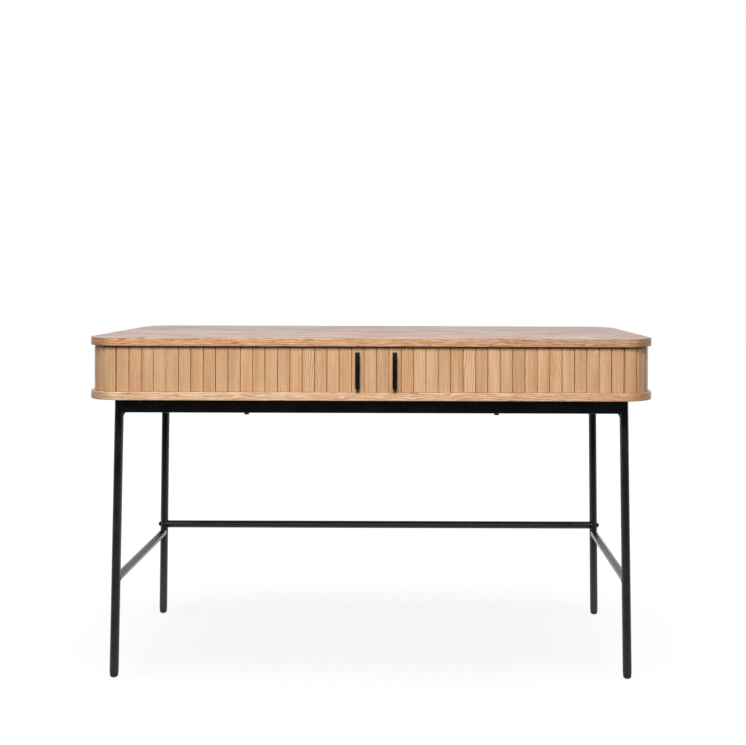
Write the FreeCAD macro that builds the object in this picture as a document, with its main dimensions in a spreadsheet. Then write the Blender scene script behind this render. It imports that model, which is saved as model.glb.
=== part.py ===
import FreeCAD, Part
import math
import os

import Sketcher

# Oak writing desk: two round-cornered boards with storage between them, closed in front by two
# tambour doors that run round the front corners, on a frame of black steel tube.
# Frame of the part: z = 0 is the floor, x = 0 the middle, the front looks towards -Y,
# and y = 0 is half way between the handles' front faces and the back edge.

# Driving sizes in millimetres, one named cell of the sheet each
SIZES = {
    # Whole desk and its two boards
    "desk_width": 1250,
    "desk_depth": 600,
    "desk_height": 764,
    "corner_radius": 72,
    "top_thickness": 18,
    "base_thickness": 18,
    "storage_rise": 100,
    "arris_round": 1.5,
    # Tambour slats, their tongues and the grooves they run in
    "slat_width": 26,
    "slat_gap": 1,
    "slat_thickness": 8,
    "slat_ease": 0.8,
    "slat_inset": 8,
    "slat_foot_gap": 0.4,
    "slat_head_gap": 4,
    "tongue_width": 12,
    "tongue_thickness": 5,
    "tongue_bite": 5.5,
    "groove_play": 0.5,
    "groove_depth": 7,
    "canvas_thickness": 0.8,
    "canvas_margin": 6,
    # Fixed panels between the boards
    "panel_thickness": 15,
    "back_thickness": 12,
    "back_inset": 30,
    "belt_room": 6,
    "housing_depth": 5,
    # Handles and their screws
    "handle_width": 10,
    "handle_depth": 6,
    "handle_length": 80,
    "handle_stand": 12,
    "handle_ease": 0.8,
    "post_radius": 3.5,
    "post_spacing": 48,
    "strap_width": 5,
    "strap_thickness": 2.5,
    "strap_drop": 7,
    "screw_radius": 2,
    "screw_bite": 8,
    "screw_head_radius": 4,
    "screw_head_rise": 2.2,
    # Legs, rails and stretchers of the frame
    "leg_radius": 10,
    "tube_wall": 1.5,
    "leg_end_inset": 58,
    "leg_edge_inset": 81,
    "foot_spread_x": 8,
    "foot_spread_y": 9,
    "rail_rise": 36,
    "rail_depth": 18,
    "rail_round": 2,
    "gusset_reach": 8,
    "gusset_thickness": 4,
    "stretcher_radius": 9.5,
    "side_stretcher_height": 218,
    "rear_stretcher_height": 238,
    # Foot caps
    "foot_rise": 12,
    "foot_inset": 0.75,
    "foot_round": 6,
    "stem_rise": 15,
    "stem_play": 0.4,
    # Bolts, inserts and plugs
    "bolt_radius": 3,
    "bolt_play": 0.2,
    "thread_play": 0.05,
    "bolt_head_width": 10,
    "bolt_head_rise": 4,
    "bolt_spacing": 562,
    "bolt_tip_gap": 1,
    "insert_radius": 4.5,
    "insert_length": 12,
    "plug_length": 22,
    "dome_radius": 6.5,
    "dome_rise": 5.5,
    # How far cutting tools reach past what they cut
    "overrun": 5,
}

# Slats of the shorter door that stay in front when it is open, and the slat that carries the handle
LEAD_SLATS = 4
HANDLE_SLAT = 2
HEX_SIDES = 6

doc = FreeCAD.newDocument("Desk")
sheet = doc.addObject("Spreadsheet::Sheet", "Sizes")
for row, (alias, number) in enumerate(SIZES.items(), start=1):
    sheet.set(f"A{row}", alias)
    sheet.set(f"B{row}", str(number))
    sheet.setAlias(f"B{row}", alias)
doc.recompute()


class Size:
    """A length, ratio or angle: its number, and the sheet expression that gives it."""

    def __init__(self, value, text):
        self.value = value
        self.text = text

    def __add__(self, other):
        other = as_size(other)
        return Size(self.value + other.value, f"({self.text} + {other.text})")

    def __sub__(self, other):
        other = as_size(other)
        return Size(self.value - other.value, f"({self.text} - {other.text})")

    def __mul__(self, other):
        other = as_size(other)
        return Size(self.value * other.value, f"({self.text} * {other.text})")

    def __truediv__(self, other):
        other = as_size(other)
        return Size(self.value / other.value, f"({self.text} / {other.text})")

    def __neg__(self):
        return Size(-self.value, f"(-{self.text})")

    __radd__ = __add__
    __rmul__ = __mul__


def as_size(item):
    """A plain number as a size without a cell of its own."""
    return item if isinstance(item, Size) else Size(item, f"({item})")


def named(alias):
    """The size that a cell of the sheet holds."""
    return Size(float(sheet.get(alias)), f"Sizes.{alias}")


def sine(degrees):
    return Size(math.sin(math.radians(degrees.value)), f"sin({degrees.text})")


def cosine(degrees):
    return Size(math.cos(math.radians(degrees.value)), f"cos({degrees.text})")


def root(item):
    return Size(math.sqrt(item.value), f"sqrt({item.text})")


def bind(item, prop, amount):
    """Give a property its size through the sheet."""
    item.setExpression(prop, as_size(amount).text)


def place(item, x, y, z, turn=0, axis=(0, 0, 1)):
    """Put an object at a point, turned about an axis, all through the sheet."""
    point = "; ".join(as_size(part).text for part in (x, y, z))
    line = "; ".join(as_size(part).text for part in axis)
    angle = as_size(turn).text
    item.setExpression("Placement", f"placement(vector({point}); rotation(vector({line}); {angle}))")


# Named places that several pieces share
half_width = named("desk_width") / 2
half_depth = named("desk_depth") / 2
mid_y = (named("handle_stand") + named("handle_depth") - named("slat_inset")) / 2
base_top_z = named("desk_height") - named("top_thickness") - named("storage_rise")
frame_top_z = base_top_z - named("base_thickness")

slat_pitch = named("slat_width") + named("slat_gap")
slat_rise = named("storage_rise") - named("slat_foot_gap") - named("slat_head_gap")
slat_z = base_top_z + named("slat_foot_gap")
belt_inset = named("slat_inset") + named("slat_thickness")
turn_radius = named("corner_radius") - belt_inset
turn_x = half_width - named("corner_radius")
turn_y = half_depth - named("corner_radius")
turn_run = turn_radius * Size(math.pi / 2, "(pi / 2)")
meeting_x = slat_pitch / 2
# A door opens by whole slats, until its lead slats come to the corner or its tail to the rear corner
front_slats = int((turn_x - meeting_x).value / slat_pitch.value + 0.5)
side_slats = int((turn_y * 2).value / slat_pitch.value)
door_travel = slat_pitch * min(front_slats - LEAD_SLATS, side_slats)

panel_x = half_width - belt_inset - named("canvas_thickness") - named("belt_room")
panel_rise = named("storage_rise") + named("housing_depth") * 2
panel_z = base_top_z - named("housing_depth")
back_y = half_depth - named("back_inset")
divider_front_y = -half_depth + belt_inset + named("canvas_thickness") + named("belt_room")

leg_x = half_width - named("leg_end_inset")
leg_y = half_depth - named("leg_edge_inset")
leg_bore = named("leg_radius") - named("tube_wall")
bolt_x = named("bolt_spacing") / 2


def lean(height):
    """How far, as a share of the whole spread, a leg has moved out at a height."""
    return (frame_top_z - height) / frame_top_z


def leg_centre(side, end, height):
    """Centre of a leg at a height: side is -1 or 1 in x, end is -1 at the front and 1 at the rear."""
    x = (leg_x + named("foot_spread_x") * lean(height)) * side
    y = mid_y + (leg_y + named("foot_spread_y") * lean(height)) * end
    return x, y


# Sketch and feature helpers
def origin_part(body, role):
    return next(part for part in body.Origin.OriginFeatures if part.Role == role)


def new_body(label):
    body = doc.addObject("PartDesign::Body", label)
    body.Label = label
    return body


def new_sketch(body, name, plane):
    sketch = body.newObject("Sketcher::SketchObject", name)
    sketch.AttachmentSupport = [(origin_part(body, plane), "")]
    sketch.MapMode = "FlatFace"
    return sketch


def fix_point(sketch, edge, end, x, y):
    """Hold one end of a sketch edge at a point through the sheet."""
    for kind, amount in (("DistanceX", as_size(x)), ("DistanceY", as_size(y))):
        number = sketch.addConstraint(Sketcher.Constraint(kind, -1, 1, edge, end, amount.value))
        sketch.setExpression(f"Constraints[{number}]", amount.text)


def fix_radius(sketch, edge, radius):
    number = sketch.addConstraint(Sketcher.Constraint("Radius", edge, radius.value))
    sketch.setExpression(f"Constraints[{number}]", radius.text)


def flat(x, y):
    return FreeCAD.Vector(as_size(x).value, as_size(y).value, 0)


def add_outline(sketch, points, arcs=None):
    """Add a closed outline; arcs maps the index of a corner to the centre and radius of the arc after it."""
    arcs = arcs or {}
    edges = []
    for index, start in enumerate(points):
        a = flat(*start)
        b = flat(*points[(index + 1) % len(points)])
        if index not in arcs:
            edges.append((sketch.addGeometry(Part.LineSegment(a, b), False), 1, 2))
            continue
        centre, radius = arcs[index]
        middle = flat(*centre)
        towards = (a + b) * 0.5 - middle
        crown = middle + towards.normalize() * radius.value
        edge = sketch.addGeometry(Part.Arc(a, crown, b), False)
        forward = (a - middle).cross(b - middle).z > 0
        edges.append((edge, 1, 2) if forward else (edge, 2, 1))
    for index, (edge, begin, end) in enumerate(edges):
        follower, follower_begin, _ = edges[(index + 1) % len(edges)]
        sketch.addConstraint(Sketcher.Constraint("Coincident", edge, end, follower, follower_begin))
        fix_point(sketch, edge, begin, *points[index])
        if index in arcs:
            fix_radius(sketch, edge, arcs[index][1])
    return sketch


def add_circle(sketch, x, y, radius):
    edge = sketch.addGeometry(Part.Circle(flat(x, y), FreeCAD.Vector(0, 0, 1), radius.value), False)
    fix_point(sketch, edge, 3, x, y)
    fix_radius(sketch, edge, radius)


def box_points(low_x, low_y, high_x, high_y):
    return [(low_x, low_y), (high_x, low_y), (high_x, high_y), (low_x, high_y)]


def pad(body, name, sketch, length, down=False, both=False):
    feature = body.newObject("PartDesign::Pad", name)
    feature.Profile = sketch
    feature.Reversed = down
    feature.SideType = "Symmetric" if both else "One side"
    bind(feature, "Length", length)
    return feature


def pocket(body, name, sketch, depth=None, up=False):
    """Cut a sketch to a depth, or right through both ways where no depth is given."""
    feature = body.newObject("PartDesign::Pocket", name)
    feature.Profile = sketch
    feature.Reversed = up
    if depth is None:
        feature.Type = "ThroughAll"
        feature.SideType = "Symmetric"
    else:
        bind(feature, "Length", depth)
    return feature


def revolve(body, name, sketch):
    feature = body.newObject("PartDesign::Revolution", name)
    feature.Profile = sketch
    feature.ReferenceAxis = (sketch, ["V_Axis"])
    return feature


def boolean(kind, label, base, tool):
    item = doc.addObject(kind, label)
    item.Label = label
    item.Base = base
    item.Tool = tool
    return item


def cut(label, base, tools):
    """A piece less several tools, taken away one after another."""
    for number, tool in enumerate(tools, start=1):
        last = number == len(tools)
        base = boolean("Part::Cut", label if last else f"{label}_trim_{number}", base, tool)
    return base


def group(label, pieces):
    """Several like pieces that share one node."""
    item = doc.addObject("Part::Compound", label)
    item.Label = label
    item.Links = pieces
    return item


def cylinder(label, radius, height):
    item = doc.addObject("Part::Cylinder", label)
    item.Label = label
    bind(item, "Radius", radius)
    bind(item, "Height", height)
    return item


def block(label, length, width, height):
    item = doc.addObject("Part::Box", label)
    item.Label = label
    bind(item, "Length", length)
    bind(item, "Width", width)
    bind(item, "Height", height)
    return item


# Boards
def rounded_outline(sketch):
    """Outline of both boards, about the board's own middle."""
    points = []
    arcs = {}
    for side, end in ((1, -1), (1, 1), (-1, 1), (-1, -1)):
        on_end = (turn_x * side, half_depth * end)
        on_side = (half_width * side, turn_y * end)
        arcs[len(points)] = ((turn_x * side, turn_y * end), named("corner_radius"))
        points += [on_end, on_side] if side * end < 0 else [on_side, on_end]
    return add_outline(sketch, points, arcs)


def groove_outline(sketch):
    """Plan of the tambour groove: along the front, round both front corners and back along the sides."""
    centre = named("slat_inset") + named("slat_thickness") / 2
    half_groove = named("tongue_thickness") / 2 + named("groove_play")
    tail_y = door_end_y() + named("tongue_width") / 2 + named("groove_play")
    points = []
    arcs = {}
    for inset, sides in ((centre - half_groove, (-1, 1)), (centre + half_groove, (1, -1))):
        radius = named("corner_radius") - inset
        first, second = sides
        run_x = half_width - inset
        run_y = -half_depth + inset
        points.append((run_x * first, tail_y))
        arcs[len(points)] = ((turn_x * first, -turn_y), radius)
        points.append((run_x * first, -turn_y))
        points.append((turn_x * first, run_y))
        arcs[len(points)] = ((turn_x * second, -turn_y), radius)
        points.append((turn_x * second, run_y))
        points.append((run_x * second, -turn_y))
        points.append((run_x * second, tail_y))
    return add_outline(sketch, points, arcs)


def door_end_y():
    """How far back, about the boards' middle, the middle of a door's last slat comes when it is open."""
    side_runs = []
    for side in (-1, 1):
        belt = Belt(side)
        last = slat_pitch * (belt.slats - 0.5) + door_travel
        side_runs.append(last - belt.front_run - turn_run)
    longest = max(side_runs, key=lambda run: run.value)
    return longest - turn_y


def housing(body, name, up, low_x, low_y, high_x, high_y):
    """A shallow pocket that the edge of a panel is glued into."""
    sketch = add_outline(new_sketch(body, f"{name}_plan", "XY_Plane"), box_points(low_x, low_y, high_x, high_y))
    return pocket(body, name, sketch, named("housing_depth"), up)


def board(label, thickness, up):
    """A board whose grooved face lies on its own z = 0; up tells which way its thickness goes."""
    body = new_body(label)
    outline = rounded_outline(new_sketch(body, f"{label}_outline", "XY_Plane"))
    blank = pad(body, f"{label}_blank", outline, thickness, down=not up)
    doc.recompute()
    level = [name for name, face in zip(face_names(blank), blank.Shape.Faces) if abs(face.normalAt(0, 0).z) > 0.5]
    edge = body.newObject("PartDesign::Fillet", f"{label}_arris")
    edge.Base = (blank, level)
    bind(edge, "Radius", named("arris_round"))
    doc.recompute()
    groove = groove_outline(new_sketch(body, f"{label}_groove_plan", "XY_Plane"))
    pocket(body, f"{label}_groove", groove, named("groove_depth"), up)
    inner_x = panel_x - named("panel_thickness")
    half_divider = named("panel_thickness") / 2
    housing(body, f"{label}_left", up, -panel_x, -turn_y, -inner_x, back_y)
    housing(body, f"{label}_right", up, inner_x, -turn_y, panel_x, back_y)
    housing(body, f"{label}_back", up, -inner_x, back_y - named("back_thickness"), inner_x, back_y)
    housing(body, f"{label}_middle", up, -half_divider, divider_front_y, half_divider,
            back_y - named("back_thickness"))
    return body


def face_names(feature):
    return [f"Face{number}" for number in range(1, len(feature.Shape.Faces) + 1)]


def top_board():
    body = board("top_board", named("top_thickness"), up=True)
    place(body, 0, mid_y, base_top_z + named("storage_rise"))
    return body


def base_board():
    """The lower board, bored from below for the threaded inserts."""
    body = board("base_board", named("base_thickness"), up=False)
    sketch = new_sketch(body, "insert_holes_plan", "XY_Plane")
    sketch.setExpression("AttachmentOffset.Base.z", (-named("base_thickness")).text)
    for side in (-1, 1):
        for end in (-1, 1):
            add_circle(sketch, bolt_x * side, leg_y * end, named("insert_radius"))
    pocket(body, "insert_holes", sketch, named("insert_length"), up=True)
    place(body, 0, mid_y, base_top_z)
    return body


# Fixed panels
def side_panel(label, side):
    panel = block(label, named("panel_thickness"), back_y + turn_y, panel_rise)
    inner_x = panel_x - named("panel_thickness")
    place(panel, inner_x if side > 0 else -panel_x, mid_y - turn_y, panel_z)
    return panel


def back_panel():
    inner_x = panel_x - named("panel_thickness")
    panel = block("back_panel", inner_x * 2, named("back_thickness"), panel_rise)
    place(panel, -inner_x, mid_y + back_y - named("back_thickness"), panel_z)
    return panel


def centre_divider():
    length = back_y - named("back_thickness") - divider_front_y
    panel = block("centre_divider", named("panel_thickness"), length, panel_rise)
    place(panel, -named("panel_thickness") / 2, mid_y + divider_front_y, panel_z)
    return panel


# Tambour doors
class Belt:
    """One door: its track from the meeting line round a front corner, and its slats by what they do."""

    def __init__(self, side):
        self.side = side
        self.front_run = turn_x - meeting_x * side
        pitch = slat_pitch.value
        front = self.front_run.value
        whole = front + turn_run.value
        self.slats = int(whole // pitch)
        self.lead = int((front - door_travel.value) / pitch + 0.5)
        self.turned = int((whole - door_travel.value) / pitch + 0.5)
        self.straight = int(front / pitch + 0.5)

    def centre(self, slat):
        """Distance of a slat's middle from the meeting line, slats counted from 1."""
        return slat_pitch * (slat - 0.5)

    def place_at(self, distance):
        """Point on the slats' back faces, about the boards' middle, and turn of a slat there."""
        into_turn = distance - self.front_run
        if into_turn.value <= 0:
            return meeting_x + distance * self.side, -half_depth + belt_inset, as_size(0)
        past_turn = into_turn - turn_run
        if past_turn.value >= 0:
            return (turn_x + turn_radius) * self.side, past_turn - turn_y, as_size(90 * self.side)
        angle = into_turn / turn_radius * Size(180 / math.pi, "(180 / pi)")
        x = (turn_x + turn_radius * sine(angle)) * self.side
        y = -turn_y - turn_radius * cosine(angle)
        return x, y, angle * self.side

    def groups(self):
        """Name, first slat and last slat of every rigid piece of the belt."""
        spans = [("lead", 1, self.lead)]
        spans += [(f"turn_{slat - self.lead}", slat, slat) for slat in range(self.lead + 1, self.turned + 1)]
        spans += [("roll", self.turned + 1, self.straight)]
        spans += [(f"tail_{slat - self.straight}", slat, slat) for slat in range(self.straight + 1, self.slats + 1)]
        return spans


def row_of(body, features, count):
    """Repeat features along the body's X axis at the slat pitch."""
    if count == 1:
        return
    row = body.newObject("PartDesign::LinearPattern", f"{body.Name}_row")
    row.Originals = features
    row.Direction = (origin_part(body, "X_Axis"), [""])
    row.Mode = "Spacing"
    bind(row, "Offset", slat_pitch)
    row.Occurrences = count
    body.Tip = row


def slats(label, count):
    """Slats side by side: back faces on y = 0, feet on z = 0, the first about x = 0."""
    body = new_body(label)
    half = named("slat_width") / 2
    deep = named("slat_thickness")
    ease = named("slat_ease")
    section = add_outline(
        new_sketch(body, f"{label}_section", "XY_Plane"),
        [(-half, 0), (-half, ease - deep), (ease - half, -deep), (half - ease, -deep), (half, ease - deep), (half, 0)],
    )
    blade = pad(body, f"{label}_blade", section, slat_rise)
    half_tongue = named("tongue_width") / 2
    middle = -deep / 2
    thick = named("tongue_thickness") / 2
    tongue_plan = add_outline(
        new_sketch(body, f"{label}_tongue_plan", "XY_Plane"),
        box_points(-half_tongue, middle - thick, half_tongue, middle + thick),
    )
    head_reach = slat_rise + named("slat_head_gap") + named("tongue_bite")
    head = pad(body, f"{label}_head_tongue", tongue_plan, head_reach)
    foot = pad(body, f"{label}_foot_tongue", tongue_plan, named("slat_foot_gap") + named("tongue_bite"), down=True)
    doc.recompute()
    row_of(body, [blade, head, foot], count)
    return body


def canvas(label, count):
    """Cloth glued to the backs of the slats."""
    half = slat_pitch / 2
    strip = new_body(label)
    plan = add_outline(
        new_sketch(strip, f"{label}_plan", "XY_Plane"),
        box_points(-half, 0, half + slat_pitch * (count - 1), named("canvas_thickness")),
    )
    sheet_z = named("canvas_margin")
    plan.setExpression("AttachmentOffset.Base.z", sheet_z.text)
    pad(strip, f"{label}_cloth", plan, slat_rise - sheet_z * 2)
    return strip


def post_heights():
    """Heights of the two handle posts above the feet of the slats."""
    middle = slat_rise / 2
    half = named("post_spacing") / 2
    return middle - half, middle + half


def screw_holes(body, x, radius):
    """Two holes from front to back for the handle's screws."""
    sketch = new_sketch(body, f"{body.Name}_screw_plan", "XZ_Plane")
    for height in post_heights():
        add_circle(sketch, x, height, radius)
    return pocket(body, f"{body.Name}_screw_holes", sketch)


def handle(label):
    """Upright bar on two posts and a strap, on the face of a slat whose back is on y = 0."""
    body = new_body(label)
    half_bar = named("handle_length") / 2
    middle = slat_rise / 2
    face = named("slat_thickness")
    front = face + named("handle_stand")
    bar_half = named("handle_width") / 2
    ease = named("handle_ease")
    deep = front + named("handle_depth")
    bar_plan = add_outline(
        new_sketch(body, f"{label}_bar_plan", "XY_Plane"),
        [(-bar_half, -front), (-bar_half, ease - deep), (ease - bar_half, -deep),
         (bar_half - ease, -deep), (bar_half, ease - deep), (bar_half, -front)],
    )
    bar_plan.setExpression("AttachmentOffset.Base.z", (middle - half_bar).text)
    pad(body, f"{label}_bar", bar_plan, named("handle_length"))
    strap_half = named("strap_width") / 2
    strap_plan = add_outline(
        new_sketch(body, f"{label}_strap_plan", "XY_Plane"),
        box_points(-strap_half, -face - named("strap_thickness"), strap_half, -face),
    )
    strap_foot = middle - half_bar - named("strap_drop")
    strap_head = middle + named("post_spacing") / 2 + named("post_radius")
    strap_plan.setExpression("AttachmentOffset.Base.z", strap_foot.text)
    post_plan = new_sketch(body, f"{label}_post_plan", "XZ_Plane")
    for height in post_heights():
        add_circle(post_plan, 0, height, named("post_radius"))
    post_plan.setExpression("AttachmentOffset.Base.z", face.text)
    pad(body, f"{label}_posts", post_plan, named("handle_stand"))
    pad(body, f"{label}_strap", strap_plan, strap_head - strap_foot)
    hole_plan = new_sketch(body, f"{label}_thread_plan", "XZ_Plane")
    for height in post_heights():
        add_circle(hole_plan, 0, height, named("screw_radius") + named("thread_play"))
    hole_plan.setExpression("AttachmentOffset.Base.z", face.text)
    pocket(body, f"{label}_threads", hole_plan, named("screw_bite"), up=True)
    return body


def handle_screw(label, height):
    """Pan-head screw along Y: head behind the cloth, point in a handle post."""
    body = new_body(label)
    reach = named("canvas_thickness") + named("slat_thickness") + named("screw_bite") - named("bolt_tip_gap")
    profile = add_outline(
        new_sketch(body, f"{label}_profile", "XZ_Plane"),
        [(0, named("screw_head_rise")), (0, -reach), (named("screw_radius"), -reach), (named("screw_radius"), 0),
         (named("screw_head_radius"), 0), (named("screw_head_radius"), named("screw_head_rise") / 2),
         (named("screw_head_radius") - named("screw_head_rise") / 2, named("screw_head_rise"))],
    )
    revolve(body, f"{label}_turned", profile)
    return body, named("canvas_thickness"), height


def door(side, name):
    """Every piece of one door, in the closed position."""
    belt = Belt(side)
    pieces = []
    for span, first, last in belt.groups():
        count = last - first + 1
        leftmost = last if side < 0 else first
        x, y, turn = belt.place_at(belt.centre(leftmost))
        kind = span.split("_")
        number = f"_{kind[1]}" if len(kind) > 1 else ""
        wood = slats(f"{name}_{kind[0]}_slats{number}", count)
        cloth = canvas(f"{name}_{kind[0]}_canvas{number}", count)
        if span == "lead":
            hole_x = slat_pitch * abs(leftmost - HANDLE_SLAT)
            screw_holes(wood, hole_x, named("screw_radius") + named("bolt_play"))
            screw_holes(cloth, hole_x, named("screw_radius") + named("bolt_play"))
        for item in (wood, cloth):
            place(item, x, mid_y + y, slat_z, turn)
        pieces += [wood, cloth]
    x, y, _ = belt.place_at(belt.centre(HANDLE_SLAT))
    grip = handle(f"{name}_handle")
    place(grip, x, mid_y + y, slat_z)
    screws = []
    for number, height in enumerate(post_heights(), start=1):
        screw, back, up = handle_screw(f"{name}_handle_screw_{number}", height)
        place(screw, x, mid_y + y + back, slat_z + up, -90, (1, 0, 0))
        screws.append(screw)
    return pieces + [grip, group(f"{name}_handle_screws", screws)]


# Steel frame
def leg_line(label, side, end, radius):
    """Solid round bar along a leg's own line, longer than the leg at its top."""
    spread_x = named("foot_spread_x") * side
    spread_y = named("foot_spread_y") * end
    sideways = root(spread_x * spread_x + spread_y * spread_y)
    length = root(sideways * sideways + frame_top_z * frame_top_z)
    bar = cylinder(label, radius, length + named("overrun"))
    x, y = leg_centre(side, end, as_size(0))
    tilt = Size(math.degrees(math.atan(sideways.value / frame_top_z.value)),
                f"atan({sideways.text} / {frame_top_z.text})")
    place(bar, x, y, 0, tilt, (spread_y, -spread_x, 0))
    return bar


def leg_slab(label):
    """Space between the foot caps and the underside of the base board, over the whole desk."""
    slab = block(label, named("desk_width"), named("desk_depth"), frame_top_z - named("foot_rise"))
    place(slab, -half_width, mid_y - half_depth, named("foot_rise"))
    return slab


def leg(label, side, end):
    """Leaning tube from the base board to its foot cap; a rear leg is drilled for the stretcher bolt."""
    solid = leg_line(f"{label}_solid", side, end, named("leg_radius"))
    bore = leg_line(f"{label}_bore", side, end, leg_bore)
    tube = cut(f"{label}_tube", solid, [bore])
    if end < 0:
        return boolean("Part::Common", label, tube, leg_slab(f"{label}_slab"))
    trimmed = boolean("Part::Common", f"{label}_trimmed", tube, leg_slab(f"{label}_slab"))
    width = (named("leg_radius") + named("overrun")) * 2
    drill = cylinder(f"{label}_drill", named("bolt_radius") + named("bolt_play"), width)
    height = named("rear_stretcher_height")
    x, y = leg_centre(side, end, height)
    place(drill, x - width / 2, y, height, 90, (0, 1, 0))
    return cut(label, trimmed, [drill])


def rail_body(label, plane, length, holes):
    """Rectangular tube with its top on z = 0, its length centred; holes are places along it for bolts."""
    body = new_body(label)
    half = named("rail_depth") / 2
    wall = named("tube_wall")
    section = add_outline(new_sketch(body, f"{label}_section", plane), box_points(-half, -named("rail_rise"), half, 0))
    solid = pad(body, f"{label}_solid", section, length, both=True)
    doc.recompute()
    along = FreeCAD.Vector(1, 0, 0) if plane == "YZ_Plane" else FreeCAD.Vector(0, 1, 0)
    long_edges = [
        f"Edge{number}"
        for number, edge in enumerate(solid.Shape.Edges, start=1)
        if abs(edge.tangentAt(edge.FirstParameter).dot(along)) > 0.5
    ]
    rounded = body.newObject("PartDesign::Fillet", f"{label}_rounded")
    rounded.Base = (solid, long_edges)
    bind(rounded, "Radius", named("rail_round"))
    doc.recompute()
    hollow = add_outline(
        new_sketch(body, f"{label}_hollow_section", plane),
        box_points(wall - half, wall - named("rail_rise"), half - wall, -wall),
    )
    pocket(body, f"{label}_hollow", hollow)
    if holes:
        plan = new_sketch(body, f"{label}_bolt_plan", "XY_Plane")
        for spot in holes:
            add_circle(plan, spot, 0, named("bolt_radius") + named("bolt_play"))
        pocket(body, f"{label}_bolt_holes", plan)
    return body


def cross_rail(label, end):
    """Rail along X between two legs, coped to them, with two bolt holes."""
    blank = rail_body(f"{label}_blank", "YZ_Plane", leg_x * 2, (-bolt_x, bolt_x))
    place(blank, 0, mid_y + leg_y * end, frame_top_z)
    legs = [leg_line(f"{label}_cope_{number}", side, end, named("leg_radius"))
            for number, side in enumerate((-1, 1), start=1)]
    return cut(label, blank, legs)


def side_rail(label, side):
    """Rail along Y between a front and a rear leg, coped to them and butted to the cross rails."""
    blank = rail_body(f"{label}_blank", "XZ_Plane", leg_y * 2, ())
    place(blank, leg_x * side, mid_y, frame_top_z)
    tools = []
    for number, end in enumerate((-1, 1), start=1):
        tools.append(leg_line(f"{label}_cope_{number}", side, end, named("leg_radius")))
        butt = block(f"{label}_butt_{number}", leg_x * 2, named("rail_depth"), named("rail_rise"))
        place(butt, -leg_x, mid_y + leg_y * end - named("rail_depth") / 2, frame_top_z - named("rail_rise"))
        tools.append(butt)
    trimmed = cut(f"{label}_trimmed", blank, tools)
    return keep_largest(label, trimmed)


def keep_largest(label, item):
    """The main solid of a piece, without the offcuts that trimming leaves."""
    doc.recompute()
    kept = doc.addObject("Part::Feature", label)
    kept.Label = label
    kept.Shape = max(item.Shape.Solids, key=lambda solid: solid.Volume)
    return kept


def gusset(label, side, end):
    """Small plate in the corner under a cross rail, with a hollow edge."""
    body = new_body(f"{label}_blank")
    reach = named("gusset_reach")
    inner = named("leg_radius")
    far = inner + reach
    points = [(0, 0), (0, -reach), (inner, -reach), (far, 0)]
    plan = add_outline(new_sketch(body, f"{label}_plan", "XZ_Plane"), points, {2: ((far, -reach), reach)})
    pad(body, f"{label}_plate", plan, named("gusset_thickness"), both=True)
    place(body, leg_x * side, mid_y + leg_y * end, frame_top_z - named("rail_rise"), 0 if side < 0 else 180)
    return cut(label, body, [leg_line(f"{label}_cope", side, end, named("leg_radius"))])


def stretcher(label, start, length, turn, axis, corners):
    """Round tube from a point, coped to the legs at its two ends."""
    solid = cylinder(f"{label}_solid", named("stretcher_radius"), length)
    bore = cylinder(f"{label}_bore", named("stretcher_radius") - named("tube_wall"), length)
    for item in (solid, bore):
        place(item, *start, turn, axis)
    copes = [leg_line(f"{label}_cope_{number}", side, end, named("leg_radius"))
             for number, (side, end) in enumerate(corners, start=1)]
    return cut(label, solid, [bore] + copes)


def side_stretcher(label, side):
    """Tube along Y between a front and a rear leg."""
    height = named("side_stretcher_height")
    x, front_y = leg_centre(side, -1, height)
    _, rear_y = leg_centre(side, 1, height)
    return stretcher(label, (x, front_y, height), rear_y - front_y, -90, (1, 0, 0), ((side, -1), (side, 1)))


def rear_stretcher(label):
    """Tube along X between the rear legs."""
    height = named("rear_stretcher_height")
    left_x, y = leg_centre(-1, 1, height)
    right_x, _ = leg_centre(1, 1, height)
    return stretcher(label, (left_x, y, height), right_x - left_x, 90, (0, 1, 0), ((-1, 1), (1, 1)))


def stretcher_plug(label, side):
    """Threaded plug in an end of the rear stretcher, coped to the leg."""
    height = named("rear_stretcher_height")
    x, y = leg_centre(side, 1, height)
    inward = 90 if side < 0 else -90
    solid = cylinder(f"{label}_solid", named("stretcher_radius") - named("tube_wall"), named("plug_length"))
    thread = cylinder(f"{label}_thread", named("bolt_radius") + named("thread_play"), named("plug_length"))
    for item in (solid, thread):
        place(item, x, y, height, inward, (0, 1, 0))
    return cut(label, solid, [thread, leg_line(f"{label}_cope", side, 1, named("leg_radius"))])


def stretcher_bolt(label, side):
    """Domed bolt along X: head on the outside of a rear leg, point in the stretcher's plug."""
    body = new_body(label)
    head = named("dome_radius")
    rise = named("dome_rise")
    shank = named("bolt_radius")
    reach = named("leg_radius") + named("plug_length") - named("bolt_tip_gap")
    ball = (head * head + rise * rise) / (rise * 2)
    points = [(0, -reach), (shank, -reach), (shank, 0), (head, 0), (0, rise)]
    profile = add_outline(new_sketch(body, f"{label}_profile", "XZ_Plane"), points, {3: ((0, rise - ball), ball)})
    revolve(body, f"{label}_turned", profile)
    height = named("rear_stretcher_height")
    x, y = leg_centre(side, 1, height)
    place(body, x + named("leg_radius") * side, y, height, 90 * side, (0, 1, 0))
    return body


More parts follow.
